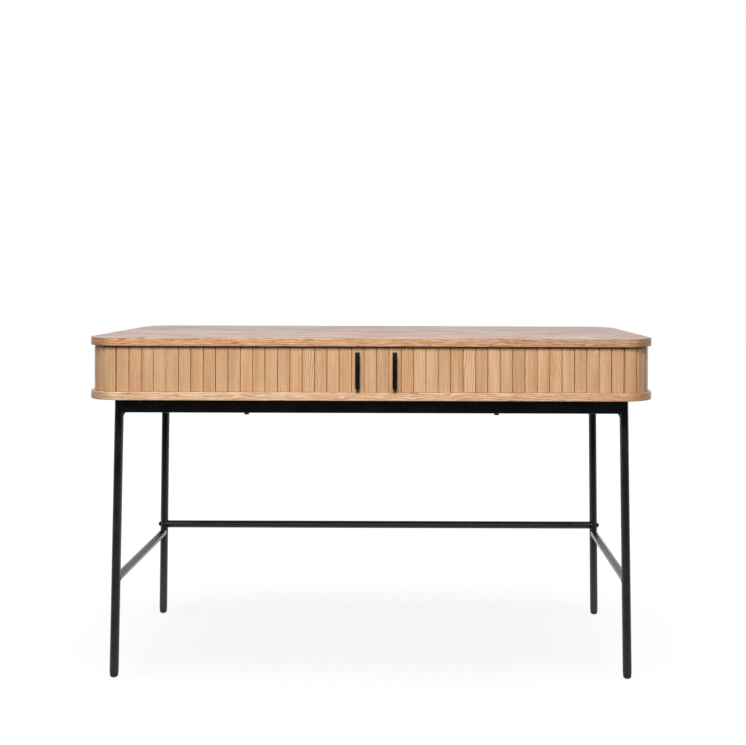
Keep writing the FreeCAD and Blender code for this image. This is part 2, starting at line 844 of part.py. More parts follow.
def frame_bolt(label, side, end):
    """Hexagon bolt from below through a cross rail into the base board."""
    body = new_body(label)
    shank_plan = new_sketch(body, f"{label}_shank_plan", "XY_Plane")
    add_circle(shank_plan, 0, 0, named("bolt_radius"))
    reach = named("rail_rise") + named("insert_length") - named("bolt_tip_gap")
    pad(body, f"{label}_shank", shank_plan, reach)
    corner = named("bolt_head_width") / 2 / cosine(as_size(180 / HEX_SIDES))
    turns = [as_size(360 * number / HEX_SIDES) for number in range(HEX_SIDES)]
    head_plan = add_outline(
        new_sketch(body, f"{label}_head_plan", "XY_Plane"),
        [(corner * cosine(turn), corner * sine(turn)) for turn in turns],
    )
    pad(body, f"{label}_head", head_plan, named("bolt_head_rise"), down=True)
    place(body, bolt_x * side, mid_y + leg_y * end, frame_top_z - named("rail_rise"))
    return body


def threaded_insert(label, side, end):
    """Sleeve in the underside of the base board that a frame bolt screws into."""
    body = new_body(label)
    plan = new_sketch(body, f"{label}_plan", "XY_Plane")
    add_circle(plan, 0, 0, named("insert_radius"))
    add_circle(plan, 0, 0, named("bolt_radius") + named("thread_play"))
    pad(body, f"{label}_sleeve", plan, named("insert_length"))
    place(body, bolt_x * side, mid_y + leg_y * end, frame_top_z)
    return body


def foot_cap(label, side, end):
    """Rounded plastic cap that closes a leg and stands on the floor, with a stem in the tube."""
    body = new_body(label)
    outer = named("leg_radius") - named("foot_inset")
    ease = named("foot_round")
    rise = named("foot_rise")
    stem = leg_bore - named("stem_play")
    top = rise + named("stem_rise")
    points = [(0, 0), (outer - ease, 0), (outer, ease), (outer, rise), (stem, rise), (stem, top), (0, top)]
    profile = add_outline(
        new_sketch(body, f"{label}_profile", "XZ_Plane"), points, {1: ((outer - ease, ease), ease)}
    )
    revolve(body, f"{label}_turned", profile)
    x, y = leg_centre(side, end, rise)
    place(body, x, y, 0)
    return body


CORNERS = {
    "front_left": (-1, -1),
    "front_right": (1, -1),
    "rear_left": (-1, 1),
    "rear_right": (1, 1),
}


def at_corners(label, make):
    """One node with a piece at each corner of the frame."""
    return group(label, [make(f"{name}_{label}", *corner) for name, corner in CORNERS.items()])


def steel_frame():
    pieces = [leg(f"{name}_leg", *corner) for name, corner in CORNERS.items()]
    pieces += [cross_rail("front_rail", -1), cross_rail("rear_rail", 1)]
    pieces += [side_rail("left_rail", -1), side_rail("right_rail", 1)]
    pieces += [side_stretcher("left_stretcher", -1), side_stretcher("right_stretcher", 1)]
    pieces += [rear_stretcher("rear_stretcher")]
    for label, make in (("stretcher_plugs", stretcher_plug), ("stretcher_bolts", stretcher_bolt)):
        ends = (("left", -1), ("right", 1))
        pieces.append(group(label, [make(f"{name}_{label}", side) for name, side in ends]))
    for label, make in (
        ("corner_gussets", gusset),
        ("frame_bolts", frame_bolt),
        ("threaded_inserts", threaded_insert),
        ("foot_caps", foot_cap),
    ):
        pieces.append(at_corners(label, make))
    return pieces


nodes = [top_board(), base_board(), side_panel("left_side_panel", -1), side_panel("right_side_panel", 1)]
nodes += [back_panel(), centre_divider()]
nodes += door(-1, "left") + door(1, "right")
nodes += steel_frame()
doc.recompute()

for item in doc.Objects:
    if "Invalid" in item.State or "Error" in item.State:
        raise RuntimeError(f"{item.Label} failed: {item.State}")
for node in nodes:
    if node.Shape.isNull() or not node.Shape.isValid():
        raise RuntimeError(f"{node.Label} has no valid shape")

os.makedirs("parts", exist_ok=True)
for node in nodes:
    node.Shape.exportStep(f"parts/{node.Label}.step")
    print(f"{node.Label}: {len(node.Shape.Solids)} solids, {node.Shape.Volume:.0f} mm3")
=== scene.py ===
"""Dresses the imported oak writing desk: banded boards, slatted tambour doors and a black steel frame."""
import logging
import math
from dataclasses import dataclass, field
from enum import Enum

import bpy
import numpy as np
from mathutils import Matrix, Vector


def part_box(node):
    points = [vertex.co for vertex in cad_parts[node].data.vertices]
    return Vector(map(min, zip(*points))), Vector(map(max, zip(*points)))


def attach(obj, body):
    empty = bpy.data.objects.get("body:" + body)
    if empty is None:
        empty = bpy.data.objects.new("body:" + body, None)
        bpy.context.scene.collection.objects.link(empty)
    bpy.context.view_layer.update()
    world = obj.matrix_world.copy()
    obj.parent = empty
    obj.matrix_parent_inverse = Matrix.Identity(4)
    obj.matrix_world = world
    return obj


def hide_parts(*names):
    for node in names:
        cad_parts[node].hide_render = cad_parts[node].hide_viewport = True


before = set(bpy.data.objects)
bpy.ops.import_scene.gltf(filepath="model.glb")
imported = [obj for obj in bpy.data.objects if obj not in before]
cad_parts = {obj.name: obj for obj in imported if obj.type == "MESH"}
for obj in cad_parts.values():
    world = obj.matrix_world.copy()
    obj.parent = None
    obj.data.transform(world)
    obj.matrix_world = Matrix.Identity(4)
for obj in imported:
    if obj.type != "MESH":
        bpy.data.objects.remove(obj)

Array = np.ndarray
Material = bpy.types.Material
Node = bpy.types.Node
Piece = bpy.types.Object
Socket = bpy.types.NodeSocket
Tree = bpy.types.NodeTree
Pair = tuple[float, float]
Triple = tuple[float, float, float]
log = logging.getLogger("desk")

MM = 0.001
PHOTO_SIZE = (746, 745)
SHARP_EDGE = math.radians(40)
RESIN_IOR = 1.5
# Share of early wood through one ring, and of a pore by its noise
EARLY_WOOD = {0.0: "D8D8D8", 0.12: "FFFFFF", 0.42: "3C3C3C", 0.9: "000000", 1.0: "D8D8D8"}
PORES = {0.5: "000000", 0.68: "FFFFFF"}
MOTTLE_SPAN = (0.35, 0.65)
# Thick sawn strips show wide rings and bundles of pores in short waves
BAND_GRAIN = {"ring_mm": 5.0, "ring_share": 0.65, "pore_mm": 2.8, "pore_run_mm": 24.0, "wander_mm": 14.0,
              "wave_mm": (16.0, 60.0), "cloud_mm": (5.0, 40.0)}


def linear(code: str) -> tuple[float, float, float, float]:
    """Turn an sRGB hex colour into linear red, green, blue and alpha, by the sRGB curve.

    Args:
        code: six hex digits.

    Returns:
        Linear colour with an alpha of 1.
    """
    shares = np.array([int(code[i:i + 2], 16) for i in (0, 2, 4)]) / 255
    low = shares / 12.92
    high = ((shares + 0.055) / 1.055) ** 2.4
    red, green, blue = np.where(shares <= 0.04045, low, high)
    return float(red), float(green), float(blue), 1.0


def add(tree: Tree, kind: str, inputs: dict | list | tuple = (), **settings: object) -> Node:
    """Add a node with its settings and links.

    Args:
        tree: node tree that takes the node.
        kind: node type without the ShaderNode prefix.
        inputs: values to set and sockets or nodes to link, by the input's name or number, or in order.
            A node is linked by its first output.
        settings: properties of the node.

    Returns:
        The new node.
    """
    node = tree.nodes.new("ShaderNode" + kind)
    for name, value in settings.items():
        setattr(node, name, value)
    for key, value in inputs.items() if isinstance(inputs, dict) else enumerate(inputs):
        value = value.outputs[0] if isinstance(value, Node) else value
        if isinstance(value, Socket):
            tree.links.new(value, node.inputs[key])
        else:
            node.inputs[key].default_value = value
    return node


def ramp(tree: Tree, source: Node, stops: dict[float, str]) -> Node:
    """Colour a value by stops along it.

    Args:
        tree: node tree that takes the ramp.
        source: node of a value from 0 to 1.
        stops: hex colour by place.

    Returns:
        Node of the colour.
    """
    node = add(tree, "ValToRGB", [source])
    places = sorted(stops)
    band = node.color_ramp
    while len(band.elements) < len(places):
        band.elements.new(0.5)
    for element, spot in zip(band.elements, places):
        element.position = spot
        element.color = linear(stops[spot])
    return node


def start_material(name: str) -> tuple[Material, Tree]:
    """Make an empty node material.

    Args:
        name: name of the material.

    Returns:
        The material and its node tree.
    """
    material = bpy.data.materials.new(name)
    material.use_nodes = True
    material.node_tree.nodes.clear()
    return material, material.node_tree


class Grain(Enum):
    """Where a wood finish takes its trunk coordinates from: across, depth and along."""

    PIECE = "piece"
    BOARD = "YZX"
    BACK = "ZYX"
    SIDE = "ZXY"


class Strip(Enum):
    """Which of the two oak strips bands a board's edge."""

    TOP = "top"
    BASE = "base"


@dataclass(frozen=True)
class Oak:
    """White oak, sliced or sawn, under satin lacquer.

    The eye sees pale tan late wood, darker porous early wood in rings about 3 mm apart, and short
    dark pores that run along the grain. The lacquer leaves a soft sheen that grows at low angles.
    """

    name: str
    grain: Grain
    light: str = "DDB68D"
    middle: str = "CFA175"
    dark: str = "B38458"
    pore: str = "8F6640"
    ring_mm: float = 3.4
    ring_share: float = 0.6
    wander_mm: float = 9.0
    wave_mm: Pair = (60.0, 420.0)
    pore_mm: float = 0.9
    pore_run_mm: float = 26.0
    pore_shares: Pair = (0.25, 0.85)
    pore_depth_mm: float = 0.12
    pore_dulling: float = 0.15
    cloud_mm: Pair = (16.0, 240.0)
    cloud_span: Pair = (0.3, 0.7)
    cloud_gloss: float = 0.05
    gloss_span: Pair = (0.3, 0.7)
    leaf_mm: float = 175.0
    pith_aside_mm: float = 50.0
    pith_depth_mm: Pair = (20.0, 70.0)
    log_mm: float = 9000.0
    slope: float = 0.018
    relief: float = 0.4
    roughness: float = 0.44

    def trunk(self, tree: Tree) -> Socket:
        """Give the place in the trunk: across the pith, depth from it and along it, in metres.

        Args:
            tree: node tree of the material.

        Returns:
            Socket of the vector.
        """
        if self.grain is Grain.PIECE:
            return add(tree, "Attribute", attribute_name="trunk").outputs["Vector"]
        place = add(tree, "SeparateXYZ", [add(tree, "TexCoord").outputs["Object"]]).outputs
        across, depth, along = (place["XYZ".index(axis)] for axis in self.grain.value)
        # Veneer is laid in leaves side by side, each from its own part of the log
        leaf, aside = self.leaf_mm * MM, self.pith_aside_mm * MM
        nearest, farthest = (size * MM for size in self.pith_depth_mm)
        turns = add(tree, "Math", [across, leaf], operation="DIVIDE")
        number = add(tree, "Math", [turns], operation="FLOOR")
        part = add(tree, "Math", [turns], operation="FRACT")
        chance = add(tree, "TexWhiteNoise", {"W": number}, noise_dimensions="1D").outputs["Color"]
        chances = add(tree, "SeparateColor", [chance]).outputs
        shift = add(tree, "Math", [chances[0], 2 * aside, -aside - leaf / 2], operation="MULTIPLY_ADD")
        side = add(tree, "Math", [part, leaf, shift], operation="MULTIPLY_ADD")
        start = add(tree, "Math", [chances[1], farthest - nearest, nearest], operation="MULTIPLY_ADD")
        tilted = add(tree, "Math", [along, self.slope, start], operation="MULTIPLY_ADD")
        deep = add(tree, "Math", [depth, tilted])
        far = add(tree, "Math", [chances[2], self.log_mm * MM, along], operation="MULTIPLY_ADD")
        return add(tree, "CombineXYZ", [side, deep, far]).outputs[0]

    @staticmethod
    def stretched(tree: Tree, trunk: Socket | Node, wide_mm: float, long_mm: float) -> Node:
        """Scale trunk coordinates so that a feature of that width and length is one unit.

        Args:
            tree: node tree of the material.
            trunk: trunk coordinates in metres.
            wide_mm: width of the feature across the grain.
            long_mm: length of the feature along the grain.

        Returns:
            Node of the scaled vector.
        """
        wide, long = 1 / (wide_mm * MM), 1 / (long_mm * MM)
        return add(tree, "VectorMath", [trunk, (wide, wide, long)], operation="MULTIPLY")

    def build(self) -> Material:
        """Make the node material: rings by distance from the pith, wandering, with pores and lacquer.

        Returns:
            The material.
        """
        material, tree = start_material(self.name)
        straight = self.trunk(tree)
        wander = self.wander_mm * MM
        drift = add(tree, "TexNoise", {"Vector": self.stretched(tree, straight, *self.wave_mm),
                                       "Scale": 1.0, "Detail": 3.0})
        aside = add(tree, "VectorMath", [drift, (wander, wander, 0)], operation="MULTIPLY")
        trunk = add(tree, "VectorMath", [straight, aside])
        flat = add(tree, "VectorMath", [trunk, (1, 1, 0)], operation="MULTIPLY")
        radius = add(tree, "VectorMath", [flat], operation="LENGTH").outputs["Value"]
        rings = add(tree, "Math", [radius, self.ring_mm * MM], operation="DIVIDE")
        early = ramp(tree, add(tree, "Math", [rings], operation="FRACT"), EARLY_WOOD)
        # Real pores are about 0.3 mm wide; they are drawn two to three times as wide so that they show,
        # and on the edge bands in bundles
        grit = add(tree, "TexNoise", {"Vector": self.stretched(tree, trunk, self.pore_mm, self.pore_run_mm),
                                      "Scale": 1.0, "Detail": 2.0, "Roughness": 0.6})
        pores = ramp(tree, grit, PORES)
        late, most = self.pore_shares
        porous = add(tree, "Math", [early, most - late, late], operation="MULTIPLY_ADD")
        pored = add(tree, "Math", [pores, porous], operation="MULTIPLY")
        cloud = add(tree, "TexNoise", {"Vector": self.stretched(tree, trunk, *self.cloud_mm),
                                       "Scale": 1.0, "Detail": 2.0})
        ground = ramp(tree, cloud, dict(zip(self.cloud_span, (self.light, self.middle))))
        fade = add(tree, "Math", [early, self.ring_share], operation="MULTIPLY")
        ringed = add(tree, "Mix", {0: fade, 6: ground, 7: linear(self.dark)}, data_type="RGBA").outputs[2]
        colour = add(tree, "Mix", {0: pored, 6: ringed, 7: linear(self.pore)}, data_type="RGBA").outputs[2]
        if self.grain is Grain.PIECE:
            tone = add(tree, "Attribute", attribute_name="tone").outputs["Vector"]
            colour = add(tree, "Mix", {0: 1.0, 6: colour, 7: tone}, data_type="RGBA",
                         blend_type="MULTIPLY").outputs[2]
        dulled = add(tree, "MapRange", [cloud, *self.gloss_span, self.roughness,
                                        self.roughness + self.cloud_gloss])
        dull = add(tree, "Math", [pored, self.pore_dulling, dulled], operation="MULTIPLY_ADD")
        relief = add(tree, "Bump", {"Strength": self.relief, "Distance": self.pore_depth_mm * MM,
                                    "Height": pored}, invert=True)
        shader = add(tree, "BsdfPrincipled", {"Base Color": colour, "Roughness": dull, "IOR": RESIN_IOR,
                                              "Normal": relief})
        add(tree, "OutputMaterial", [shader])
        return material


@dataclass(frozen=True)
class Mottled:
    """A finish of two close shades in soft patches, which change its gloss too, and a fine relief."""

    name: str
    low: str
    high: str
    patch_mm: float
    patch_detail: float
    roughness: float
    gloss_swing: float
    metallic: float = 0.0
    grit_mm: float = 1.0
    grit_detail: float = 2.0
    grit_depth_mm: float = 0.05
    relief: float = 0.0

    def build(self) -> Material:
        """Make the node material: one noise for shade and gloss, and one for the relief.

        Returns:
            The material.
        """
        material, tree = start_material(self.name)
        place = add(tree, "TexCoord").outputs["Object"]
        patch = add(tree, "TexNoise", {"Vector": place, "Scale": 1 / (self.patch_mm * MM),
                                       "Detail": self.patch_detail})
        colour = ramp(tree, patch, dict(zip(MOTTLE_SPAN, (self.low, self.high))))
        gloss = add(tree, "Math", [patch, self.gloss_swing, self.roughness - self.gloss_swing / 2],
                    operation="MULTIPLY_ADD")
        looks = {"Base Color": colour, "Roughness": gloss, "Metallic": self.metallic}
        if self.relief:
            grit = add(tree, "TexNoise", {"Vector": place, "Scale": 1 / (self.grit_mm * MM),
                                          "Detail": self.grit_detail})
            looks["Normal"] = add(tree, "Bump", {"Strength": self.relief, "Height": grit,
                                                 "Distance": self.grit_depth_mm * MM})
        add(tree, "OutputMaterial", [add(tree, "BsdfPrincipled", looks)])
        return material


@dataclass(frozen=True)
class PowderCoat(Mottled):
    """Satin black powder coat baked on steel: nearly black, faintly pebbled, with a soft broad gloss."""

    name: str = "black_powder_coat"
    low: str = "19191B"
    high: str = "242427"
    patch_mm: float = 45.0
    patch_detail: float = 4.0
    roughness: float = 0.18
    gloss_swing: float = 0.12
    # The pebbles of a real coat are about half a millimetre; they are drawn coarser so that they show
    grit_mm: float = 1.6
    relief: float = 0.06


@dataclass(frozen=True)
class ZincPlate(Mottled):
    """Zinc-plated steel: cool grey metal in small bright and dull patches."""

    name: str = "zinc_plated_steel"
    low: str = "8E9093"
    high: str = "B9BCBF"
    patch_mm: float = 1.2
    patch_detail: float = 3.0
    roughness: float = 0.34
    gloss_swing: float = 0.2
    metallic: float = 1.0


@dataclass(frozen=True)
class FootPlastic(Mottled):
    """Moulded black polyethylene: matt, with a fine moulded grain."""

    name: str = "moulded_foot_plastic"
    low: str = "0E0E0F"
    high: str = "1A1A1B"
    patch_mm: float = 0.8
    patch_detail: float = 3.0
    roughness: float = 0.55
    gloss_swing: float = 0.2
    grit_mm: float = 0.8
    grit_detail: float = 3.0
    grit_depth_mm: float = 0.04
    relief: float = 0.3


@dataclass(frozen=True)
class Canvas:
    """Unbleached cotton canvas, plain woven: warp and weft threads go over and under each other."""

    name: str = "cotton_canvas"
    thread: str = "C9BBA0"
    shade: str = "8D7F66"
    # Real threads are about 0.6 mm apart; they are drawn coarser so that the weave shows
    thread_mm: float = 1.1
    thread_depth_mm: float = 0.3
    shade_span: Pair = (0.2, 1.0)
    slub_mm: float = 9.0
    slub_share: float = 0.5
    relief: float = 0.7
    roughness: float = 0.9

    def build(self) -> Material:
        """Make the node material: the sine of the place along each thread family, multiplied.

        Returns:
            The material.
        """
        material, tree = start_material(self.name)
        cloth = add(tree, "Attribute", attribute_name="weave").outputs["Vector"]
        place = add(tree, "SeparateXYZ", [cloth]).outputs
        turn = math.pi / (self.thread_mm * MM)
        angles = [add(tree, "Math", [place[axis], turn], operation="MULTIPLY") for axis in (0, 1)]
        warp, weft = (add(tree, "Math", [angle], operation="SINE") for angle in angles)
        over = add(tree, "Math", [warp, weft], operation="MULTIPLY")
        raised = add(tree, "Math", [over, 0.5, 0.5], operation="MULTIPLY_ADD")
        slub = add(tree, "TexNoise", {"Vector": cloth, "Scale": 1 / (self.slub_mm * MM), "Detail": 3.0})
        mixed = add(tree, "Math", [slub, self.slub_share, raised], operation="MULTIPLY_ADD")
        colour = ramp(tree, mixed, dict(zip(self.shade_span, (self.shade, self.thread))))
        relief = add(tree, "Bump", {"Strength": self.relief, "Distance": self.thread_depth_mm * MM,
                                    "Height": raised})
        shader = add(tree, "BsdfPrincipled", {"Base Color": colour, "Roughness": self.roughness,
                                              "Normal": relief})
        add(tree, "OutputMaterial", [shader])
        return material


def made(finish: Oak | Mottled | Canvas) -> Material:
    """Give a field whose material is built along with the desk's finishes."""
    return field(default_factory=finish.build)


@dataclass
class Finishes:
    """Every material of the desk, made once."""

    # The board veneer is drawn darker and greyer than the side veneer: painted shade of the top face, which
    # gets little light
    board: Material = made(Oak(
        "oak_veneer_board", Grain.BOARD, light="CCA489", middle="BA9174", dark="986F52", ring_share=0.6,
        cloud_mm=(30, 170), cloud_gloss=0.19, gloss_span=(0.34, 0.68), relief=0.1, roughness=0.25))
    top_band: Material = made(Oak(
        "oak_top_band", Grain.PIECE, light="E2B994", middle="C9956A", dark="9C5E34", pore="7C451F",
        **BAND_GRAIN))
    # The base band is drawn paler than the top band: partly a paler strip, partly painted light from the
    # floor below it
    base_band: Material = made(Oak(
        "oak_base_band", Grain.PIECE, light="F2D6BB", middle="E0B78F", dark="B98556", pore="9C6A3E",
        **BAND_GRAIN))
    slat: Material = made(Oak(
        "oak_slat", Grain.PIECE, light="E4BF9A", middle="CB9D72", ring_mm=2.8, ring_share=0.85, wander_mm=5,
        wave_mm=(30, 160), pore_mm=0.7, pore_run_mm=45, roughness=0.36))
    side: Material = made(Oak("oak_veneer_side", Grain.SIDE))
    back: Material = made(Oak("oak_veneer_back", Grain.BACK))
    steel: Material = made(PowderCoat())
    handle: Material = made(PowderCoat("black_handle_coat", low="0F0E0E", high="171616"))
    zinc: Material = made(ZincPlate())
    foot: Material = made(FootPlastic())
    canvas: Material = made(Canvas())

    def band(self, strip: Strip) -> Material:
        """Give the finish of an edge strip."""
        return self.top_band if strip is Strip.TOP else self.base_band


def repaint(material: Material, *nodes: str) -> None:
    """Give CAD nodes a finish and report them.

    Args:
        material: finish of the nodes.
        nodes: names of the nodes.
    """
    for name in nodes:
        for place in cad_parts[name].material_slots:
            place.material = material
        log.info("%s: %s", name, material.name)


def sheet(name: str, points: Array, ring: bool, caps: bool, fields: dict[str, Array]) -> Piece:
    """Join grids of points into one mesh of quads.

    Each grid of rows and columns becomes quads between neighbouring rows and columns. Fields are kept
    per corner, on grids with one more column where the columns close into a ring.

    Args:
        name: name of the piece.
        points: places, shaped grids, rows, columns, 3.
        ring: whether the last column joins the first.
        caps: whether the first and last rows are closed by a face each.
        fields: vectors by name, shaped grids, rows, columns (plus 1 for a ring), 3.

    Returns:
        The new object, at the origin.
    """
    grids, rows, columns, _ = points.shape
    index = np.arange(grids * rows * columns).reshape(grids, rows, columns)
    wide = columns + 1 if ring else columns
    spot = np.arange(grids * rows * wide).reshape(grids, rows, wide)
    around = np.concatenate([index, index[:, :, :1]], axis=2) if ring else index

    def quads(grid: Array) -> Array:
        """Four corners of every quad of a grid, anticlockwise seen from outside."""
        low, high = grid[:, :-1], grid[:, 1:]
        four = [low[..., :-1], low[..., 1:], high[..., 1:], high[..., :-1]]
        return np.stack(four, axis=-1).reshape(-1, 4)

    faces = quads(around).tolist()
    corners = [quads(spot).ravel()]
    if caps:
        foot, head = index[:, 0, ::-1], index[:, -1]
        faces += foot.tolist() + head.tolist()
        corners += [spot[:, 0, :columns][:, ::-1].ravel(), spot[:, -1, :columns].ravel()]
    mesh = bpy.data.meshes.new(name)
    mesh.from_pydata(points.reshape(-1, 3).tolist(), [], faces)
    order = np.concatenate(corners)
    for label, values in fields.items():
        layer = mesh.attributes.new(label, "FLOAT_VECTOR", "CORNER")
        layer.data.foreach_set("vector", values.reshape(-1, 3)[order].astype(np.float32).ravel())
    mesh.shade_smooth()
    mesh.set_sharp_from_angle(angle=SHARP_EDGE)
    item = bpy.data.objects.new(name, mesh)
    bpy.context.scene.collection.objects.link(item)
    return item


def finish_piece(item: Piece, body: str, slot: str, material: Material, *nodes: str) -> None:
    """Dress a piece, hang it on a body and report it.

    Args:
        item: the new piece.
        body: CAD body that carries it.
        slot: material slot of the record; not used.
        material: finish of the piece.
        nodes: CAD nodes that the piece stands for.
    """
    item.data.materials.append(material)
    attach(item, body)
    if nodes:
        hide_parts(*nodes)
    log.info("%s on %s: %d faces, %s", item.name, body, len(item.data.polygons), material.name)


def rounded_box(width: float, depth: float, radius: float, steps: int) -> Array:
    """Outline of a box with round corners, anticlockwise: a quarter circle about each inset corner.

    Args:
        width: size along the first axis.
        depth: size along the second axis.
        radius: radius of the corners.
        steps: points on each corner.

    Returns:
        Points, shaped 4 * steps, 2.
    """
    turn = np.linspace(0, math.pi / 2, steps) + np.arange(4)[:, None] * math.pi / 2
    signs = np.array([(1, 1), (-1, 1), (-1, -1), (1, -1)])
    middle = signs * (np.array([width, depth]) / 2 - radius)
    circle = np.stack([np.cos(turn), np.sin(turn)], axis=-1) * radius
    return (middle[:, None] + circle).reshape(-1, 2)


def closed(field_grid: Array) -> Array:
    """Repeat the first column of a grid after its last."""
    return np.concatenate([field_grid, field_grid[:, :, :1]], axis=2)


@dataclass
class BandedBoard:
    """A round-cornered board: veneered faces from the CAD and an edge band of its own."""

    node: str
    strip: Strip
    seed: int
    corner: float = 72 * MM
    arris: float = 1.5 * MM
    proud: float = 0.12 * MM
    tuck: float = 0.4 * MM
    # Painted shade: how much the band's red, green and blue darken towards its right end
    painted_end_shade: Triple = (0.14, 0.12, 0.06)
    # Painted shade: how much the band's red, green and blue darken at the middle of a corner
    painted_corner_shade: Triple = (0.15, 0.18, 0.22)
    pith_aside: Pair = (50 * MM, 90 * MM)
    pith_depth: float = 20 * MM
    sway: float = 12 * MM
    sway_run: float = 270 * MM
    sway_start: float = 6.0
    log_step: float = 3.7
    corner_steps: int = 20
    arris_steps: int = 6

    def outline(self) -> tuple[Array, Array, Array]:
        """Walk round the board from the middle of its back edge.

        The walk is a rounded rectangle: quarter circles about the four corner centres, joined by
        straight runs.

        Returns:
            Points, outward directions and the run along the edge.
        """
        low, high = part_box(self.node)
        middle = np.array([(low.x + high.x) / 2, (low.y + high.y) / 2])
        reach = np.array([high.x - low.x, high.y - low.y]) / 2
        turn = np.linspace(0, math.pi / 2, self.corner_steps) + (np.arange(4)[:, None] + 1) * math.pi / 2
        signs = np.array([(-1, 1), (-1, -1), (1, -1), (1, 1)])
        away = np.stack([np.cos(turn), np.sin(turn)], axis=-1)
        curve = middle + (signs * (reach - self.corner))[:, None] + away * self.corner
        start = (middle + (0, reach[1]))[None]
        points = np.concatenate([start, curve.reshape(-1, 2), start])
        outward = np.concatenate([[(0, 1)], away.reshape(-1, 2), [(0, 1)]])
        steps = np.linalg.norm(np.diff(points, axis=0), axis=1)
        return points, outward, np.concatenate([[0], np.cumsum(steps)])

    def profile(self) -> Array:
        """Section of the band, from below: an arris arc at each edge, its ends tucked into the board.

        Returns:
            Offsets outwards and heights.
        """
        low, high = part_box(self.node)
        reach = self.arris + self.proud
        limit = math.asin(self.arris / reach)
        turn = np.linspace(0, limit, self.arris_steps)
        out = np.cos(turn) * reach - self.arris
        rise = np.sin(turn) * reach
        above = np.stack([out, high.z - self.arris + rise], axis=-1)
        below = np.stack([out, low.z + self.arris - rise], axis=-1)[::-1]
        inner = -self.arris * 2
        return np.concatenate([[(inner, low.z + self.tuck)], below, above, [(inner, high.z - self.tuck)]])

    def band(self) -> Piece:
        """Carry the section along the edge; its grain runs along the band, and the pith sways as a sine.

        Returns:
            The band.
        """
        points, outward, run = self.outline()
        section = self.profile()
        plan = points[None] + outward[None] * section[:, 0, None, None]
        height = np.broadcast_to(section[:, 1, None, None], plan.shape[:2] + (1,))
        places = np.concatenate([plan, height], axis=-1)[None]
        chance = np.random.default_rng(self.seed)
        across = (height[..., 0] - section[:, 1].mean()) + chance.uniform(*self.pith_aside)
        turn = run / self.sway_run + chance.uniform(0, self.sway_start)
        deep = self.pith_depth + self.sway * np.sin(turn)
        along = run + self.seed * self.log_step
        trunk = np.stack(np.broadcast_arrays(across, deep, along), axis=-1)[None]
        # Painted shade: the band is darkened most at the middle of a corner, where it turns away from the
        # lamps
        corner_shading = 2 * np.abs(outward[:, 0] * outward[:, 1])[:, None] * np.array(self.painted_corner_shade)
        # Painted shade: the band darkens from its left end to its right end, by the square of the way, as
        # less light falls there
        way = (points[:, 0] - points[:, 0].min()) / np.ptp(points[:, 0])
        darker = (way ** 2)[:, None] * np.array(self.painted_end_shade)
        tone = np.broadcast_to((1 - corner_shading) * (1 - darker), trunk.shape)
        # The last column stands on the first, so the ring drops it and the grain keeps it
        fields = {"trunk": trunk, "tone": tone}
        return sheet(f"{self.node}_edge_band", places[:, :, :-1], True, False, fields)

    def dress(self, finishes: Finishes) -> None:
        """Build the band and give board and band their finishes."""
        repaint(finishes.board, self.node)
        finish_piece(self.band(), "desk", "board_oak", finishes.band(self.strip))


